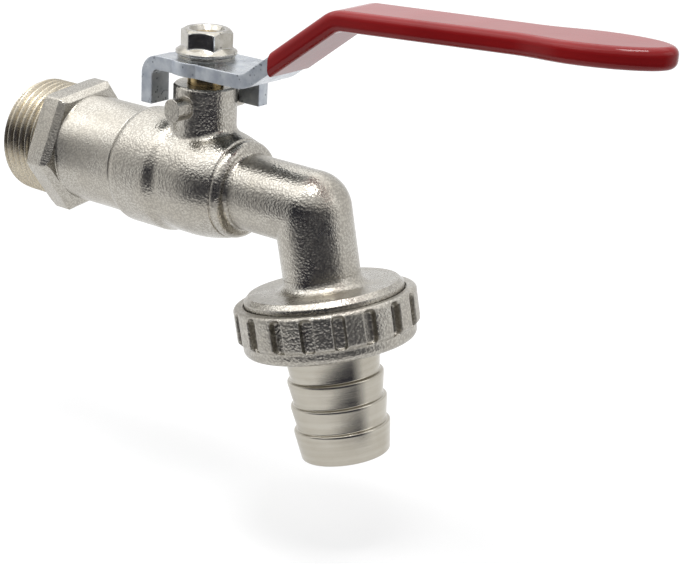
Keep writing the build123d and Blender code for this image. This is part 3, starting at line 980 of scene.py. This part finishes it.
@dataclass
class LeverSet:
    """The spindle: ball, stem, rings, lever, grip, washer and nut."""

    brass: TurnedMetal = TurnedMetal(
        "bare_brass", (0.50, 0.38, 0.20), (0.34, 0.25, 0.12), STEM_FOOT, UP
    )
    plating: TurnedMetal = TurnedMetal(
        "plated_ball",
        (0.80, 0.80, 0.81),
        (0.72, 0.72, 0.74),
        STEM_FOOT,
        UP,
        depth=0.001 * MM,
        smooth=0.05,
        rough=0.1,
    )
    zinc: PlatedSteel = PlatedSteel(
        "zinc_steel", (0.52, 0.55, 0.58), (0.37, 0.40, 0.45), (0.09, 0.10, 0.12), cut_rough=0.25
    )
    bright: PlatedSteel = PlatedSteel(
        "nut_steel", (0.42, 0.40, 0.36), (0.33, 0.31, 0.265), (0.13, 0.12, 0.10), smooth=0.10, rough=0.22
    )
    coat: DippedCoat = DippedCoat()
    rubber: SoftPolymer = SoftPolymer("stem_ring_rubber", RUBBER_BLACK, RUBBER_DUST, 0.49, 0.61)
    nut_nodes: Tuple[str, ...] = ("lever_washer", "lever_nut")
    ring_nodes: Tuple[str, ...] = ("lower_stem_ring", "upper_stem_ring")

    def dress(self, effects: Effects) -> None:
        """Gives the spindle's pieces their finishes.

        Args:
            effects: the shared node groups.
        """
        dress("stem", self.brass.material(effects))
        dress("ball", self.plating.material(effects))
        dress("lever", self.zinc.material(effects))
        dress("lever_grip", self.coat.material(effects))
        bright = self.bright.material(effects)
        for node in self.nut_nodes:
            dress(node, bright)
        rubber = self.rubber.material(effects)
        for node in self.ring_nodes:
            dress(node, rubber)


@dataclass
class HoseUnion:
    """The union nut, its gasket and the barbed tail."""

    nut_skin: CastNickel = CastNickel(
        name="cast_nut", grain=0.55 * MM, depth=0.15 * MM, edge_width=0.6 * MM, smooth=0.26, rough=0.42
    )
    tail_skin: TurnedMetal = TurnedMetal(
        "turned_nickel", (0.48, 0.455, 0.40), (0.38, 0.35, 0.29), ELBOW, OUTLET_AXIS
    )
    rubber: SoftPolymer = SoftPolymer("black_rubber", RUBBER_BLACK, RUBBER_DUST, 0.54, 0.66)
    gasket_end: float = 25.8 * MM
    lip: float = 27.4 * MM
    flange_r: float = 15.9 * MM
    throat_r: float = 10.0 * MM
    throat_end: float = 29.6 * MM
    neck_r: float = 10.4 * MM
    neck_start: float = 30.2 * MM
    bore_r: float = 7.8 * MM
    crest_r: float = 10.47 * MM
    root_r: float = 9.7 * MM
    fillet: float = 0.3 * MM
    first_crest: float = 36.4 * MM
    pitch: float = 5.5 * MM
    barbs: int = 3
    land: float = 0.3 * MM
    end: float = 54.0 * MM
    end_round: float = 0.9 * MM
    arc_steps: int = 6
    turn_steps: int = 128

    def arc(self, radius: float) -> Outline:
        """Gives a quarter circle's points as sine and one minus cosine, times the radius."""
        turns = [number * math.pi / 2 / self.arc_steps for number in range(self.arc_steps + 1)]
        return [(radius * math.sin(turn), radius * (1 - math.cos(turn))) for turn in turns]

    def tail_profile(self) -> Outline:
        """Draws the tail's outline from its bore at the gasket round the barbs to its end.

        Returns:
            Its points as radius and distance along the outlet axis.
        """
        nose = self.crest_r - self.root_r - self.fillet
        points = [
            (self.bore_r, self.gasket_end),
            (self.flange_r, self.gasket_end),
            (self.flange_r, self.lip),
            (self.throat_r, self.lip),
            (self.throat_r, self.throat_end),
            (self.neck_r, self.neck_start),
        ]
        for barb in range(self.barbs):
            crest = self.first_crest + barb * self.pitch
            ledge = crest - nose
            corner = ledge - self.fillet
            points += [(self.root_r + out, corner + along) for along, out in self.arc(self.fillet)]
            points += [(self.crest_r - nose + out, ledge + along) for out, along in self.arc(nose)[1:]]
            points.append((self.crest_r, crest + self.land))
        start = self.end - self.end_round
        points += [(self.root_r - inward, start + along) for along, inward in self.arc(self.end_round)]
        points.append((self.bore_r, self.end))
        return points

    def build_tail(self, effects: Effects) -> bpy.types.Object:
        """Turns the tail with rounded barbs and a tapered neck, in place of its CAD node.

        Args:
            effects: the shared node groups.

        Returns:
            The finished piece.
        """
        bm = bmesh.new()
        side = Vector((0.0, 1.0, 0.0))
        line = [ELBOW + OUTLET_AXIS * along + side * radius for radius, along in self.tail_profile()]
        verts = [bm.verts.new(point) for point in line]
        edges = [bm.edges.new(pair) for pair in zip(verts, verts[1:] + verts[:1])]
        bmesh.ops.spin(
            bm,
            geom=verts + edges,
            cent=ELBOW,
            axis=OUTLET_AXIS,
            angle=2 * math.pi,
            steps=self.turn_steps,
            use_merge=True,
        )
        bmesh.ops.recalc_face_normals(bm, faces=bm.faces)
        shade_by_angle(bm)
        piece = add_piece("hose_tail_turned", bm, [self.tail_skin.material(effects)])
        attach(piece, Body.TAIL.value)
        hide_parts("hose_tail")
        return piece

    def dress(self, effects: Effects) -> None:
        """Gives the nut and the gasket their finishes.

        Args:
            effects: the shared node groups.
        """
        dress("union_nut", self.nut_skin.material(effects))
        dress("gasket", self.rubber.material(effects))


def vector_field(x: float, y: float, z: float) -> Any:
    """Gives a dataclass field that starts as a vector."""
    return field(default_factory=lambda: Vector((x, y, z)))


def seen_rays(sheet: NodeSheet) -> Socket:
    """Gives 1 for rays that show the background, straight, in a reflection or through glass.

    Args:
        sheet: the nodes of the world or of a stage material.

    Returns:
        The socket that is 1 for such rays and 0 for others.
    """
    path = sheet.add("ShaderNodeLightPath").outputs
    seen = sheet.math("MAXIMUM", path["Is Camera Ray"], path["Is Glossy Ray"])
    return sheet.math("MAXIMUM", seen, path["Is Transmission Ray"])


@dataclass(frozen=True)
class Lamp:
    """A square soft lamp: its place, its side and its power in watts."""

    name: str
    place: Place
    size: float
    power: float

    def hang(self, target: Vector) -> None:
        """Hangs the lamp and points it.

        Args:
            target: the point that it shines at.
        """
        data = bpy.data.lights.new(self.name, "AREA")
        data.size = self.size
        data.energy = self.power
        lamp = bpy.data.objects.new(self.name, data)
        lamp.location = self.place
        lamp.rotation_euler = (target - Vector(self.place)).to_track_quat("-Z", "Y").to_euler()
        bpy.context.scene.collection.objects.link(lamp)


@dataclass
class Studio:
    """Floor, surroundings, lamps and the camera."""

    eye: Vector = vector_field(0.277416, -0.274746, 0.110483)
    right: Vector = vector_field(0.79728, 0.60135, 0.05216)
    up: Vector = vector_field(-0.24706, 0.24627, 0.93719)
    back: Vector = vector_field(0.55073, -0.76008, 0.34491)
    image_width: float = 680.0
    focal_pixels: float = 1718.33
    sensor: float = 36.0
    nearest: float = 0.01
    middle: Vector = vector_field(0.05, 0.0, 0.0)
    lamps: Tuple[Lamp, ...] = (
        Lamp("key_lamp", (-0.30, -0.45, 0.60), 0.50, 0.9),
        Lamp("fill_lamp", (0.75, 0.15, 0.40), 0.50, 0.8),
        Lamp("top_lamp", (-0.12, 0.06, 0.62), 1.00, 3.8),
        Lamp("small_lamp", (0.12, -0.10, 0.60), 0.18, 1.5),
    )
    ambient: float = 0.28
    ambient_tone: Colour = (0.97, 0.98, 1.0)
    floor_gap: float = 0.02
    floor_size: float = 6.0
    floor_tone: Colour = (0.48, 0.48, 0.48)
    floor_rough: float = 0.9
    floor_shine: float = 0.1
    floor_near: float = 0.25
    floor_far: float = 0.9
    floor_near_lift: float = 0.60
    floor_far_lift: float = 0.88
    # The dark screen paints dark reflections of the room behind the camera; nothing else sees it.
    dark_heading: float = math.radians(-8)
    dark_half_turn: float = math.radians(84)
    dark_fade: float = math.radians(30)
    dark_middle: Vector = vector_field(0.08, 0.0, 0.0)
    dark_near: float = 0.15
    dark_far: float = 0.25
    dark_top: float = 0.17
    dark_floor_gap: float = 1.0 * MM
    dark_near_full: float = 1.35
    dark_top_full: float = 0.5
    dark_steps: int = 32
    dark_tone: Colour = (0.060, 0.061, 0.082)

    def place_camera(self) -> None:
        """Sets the camera where the photograph was taken from."""
        data = bpy.data.cameras.new("camera")
        data.sensor_fit = "HORIZONTAL"
        data.sensor_width = self.sensor
        data.lens = self.focal_pixels * self.sensor / self.image_width
        data.clip_start = self.nearest
        camera = bpy.data.objects.new("camera", data)
        turn = Matrix((self.right, self.up, self.back)).transposed().to_4x4()
        camera.matrix_world = Matrix.Translation(self.eye) @ turn
        bpy.context.scene.collection.objects.link(camera)
        bpy.context.scene.camera = camera

    def surround(self) -> None:
        """Sets a white world that the camera and reflections see at full white."""
        world = bpy.data.worlds.new("white_room")
        bpy.context.scene.world = world
        world.use_nodes = True
        world.node_tree.nodes.clear()
        sheet = NodeSheet(world.node_tree)
        white = sheet.add("ShaderNodeBackground", {"Color": with_alpha(WHITE), "Strength": 1.0})
        soft = sheet.add(
            "ShaderNodeBackground", {"Color": with_alpha(self.ambient_tone), "Strength": self.ambient}
        )
        mixed = sheet.add(
            "ShaderNodeMixShader",
            {0: seen_rays(sheet), 1: soft.outputs["Background"], 2: white.outputs["Background"]},
        )
        sheet.add("ShaderNodeOutputWorld", {"Surface": mixed.outputs["Shader"]})

    def floor_height(self) -> float:
        """Gives the floor's height, below the tap."""
        low, _ = CAD_BOX
        return low.z - self.floor_gap

    def lay_floor(self) -> None:
        """Lays a pale floor that the camera sees as white where no shadow falls."""
        centre = Vector((self.middle.x, self.middle.y, self.floor_height()))
        bm = bmesh.new()
        bmesh.ops.create_grid(bm, x_segments=1, y_segments=1, size=self.floor_size / 2)
        bmesh.ops.translate(bm, verts=bm.verts, vec=centre)
        material, sheet, shader = blank_material("pale_floor")
        reach = sheet.vector("DISTANCE", sheet.surface_point(), centre).outputs["Value"]
        lift = sheet.spread(
            reach, self.floor_near, self.floor_far, self.floor_near_lift, self.floor_far_lift
        )
        sheet.fill(shader, {
            "Base Color": with_alpha(self.floor_tone),
            "Roughness": self.floor_rough,
            "Specular IOR Level": self.floor_shine,
            "Emission Color": with_alpha(WHITE),
            "Emission Strength": sheet.math("MULTIPLY", seen_rays(sheet), lift),
        })
        add_piece("floor", bm, [material])

    def screen_heading(self) -> float:
        """Gives the way that the middle of the dark screen lies, as an angle from +X."""
        return math.atan2(self.back.y, self.back.x) + self.dark_heading

    def screen_mesh(self) -> bmesh.types.BMesh:
        """Spins a strip of floor and a wall round the tap, on the camera's side.

        Returns:
            The screen's mesh.
        """
        foot = self.floor_height() + self.dark_floor_gap
        outline = ((self.dark_near, foot), (self.dark_far, foot), (self.dark_far, self.dark_top))
        start = self.screen_heading() - self.dark_half_turn
        bm = bmesh.new()
        verts = [bm.verts.new((r * math.cos(start), r * math.sin(start), z)) for r, z in outline]
        edges = [bm.edges.new(pair) for pair in zip(verts, verts[1:])]
        bmesh.ops.spin(
            bm,
            geom=verts + edges,
            cent=(0.0, 0.0, 0.0),
            axis=UP,
            angle=2 * self.dark_half_turn,
            steps=self.dark_steps,
        )
        bmesh.ops.translate(bm, verts=bm.verts, vec=self.dark_middle)
        return bm

    def screen_material(self) -> bpy.types.Material:
        """Makes a dull dark material that fades out at the screen's edges.

        Returns:
            The material.
        """
        material, sheet, shader = blank_material("dark_reflection_screen")
        local = sheet.add(
            "ShaderNodeMapping",
            {
                "Vector": sheet.surface_point(),
                "Location": self.dark_middle,
                "Rotation": (0.0, 0.0, self.screen_heading()),
            },
            vector_type="TEXTURE",
        ).outputs["Vector"]
        parts = sheet.add("ShaderNodeSeparateXYZ", {"Vector": local}).outputs
        turn = sheet.math("ABSOLUTE", sheet.math("ARCTAN2", parts["Y"], parts["X"]))
        reach = sheet.add("ShaderNodeVectorMath", {0: local}, operation="LENGTH").outputs["Value"]
        sides = sheet.spread(turn, self.dark_half_turn, self.dark_half_turn - self.dark_fade)
        top = sheet.spread(parts["Z"], self.dark_top, self.dark_top_full * self.dark_top)
        near = sheet.spread(reach, self.dark_near, self.dark_near_full * self.dark_near)
        sheet.fill(shader, {
            "Base Color": with_alpha(self.dark_tone),
            "Roughness": 1.0,
            "Specular IOR Level": 0.0,
            "Alpha": sheet.math("MULTIPLY", sides, sheet.math("MULTIPLY", top, near)),
        })
        return material

    def hang_dark_reflection_screen(self) -> None:
        """Hangs a soft-edged dark screen that only reflections see: a painted dark reflection in place
        of the unlit room behind the camera.
        """
        screen = add_piece("dark_reflection_screen", self.screen_mesh(), [self.screen_material()])
        screen.visible_camera = False
        screen.visible_diffuse = False
        screen.visible_shadow = False
        screen.visible_transmission = False

    def build(self) -> None:
        """Builds the whole studio."""
        bpy.context.scene.view_settings.view_transform = "Standard"
        self.place_camera()
        self.surround()
        self.lay_floor()
        self.hang_dark_reflection_screen()
        for lamp in self.lamps:
            lamp.hang(self.middle)


def main() -> None:
    """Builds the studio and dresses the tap."""
    logging.basicConfig(level=logging.INFO, format="%(name)s: %(message)s")
    Studio().build()
    effects = Effects()
    InletEnd().build(effects)
    ValveBody().dress(effects)
    LeverSet().dress(effects)
    union = HoseUnion()
    union.build_tail(effects)
    union.dress(effects)


if __name__ == "__main__":
    main()
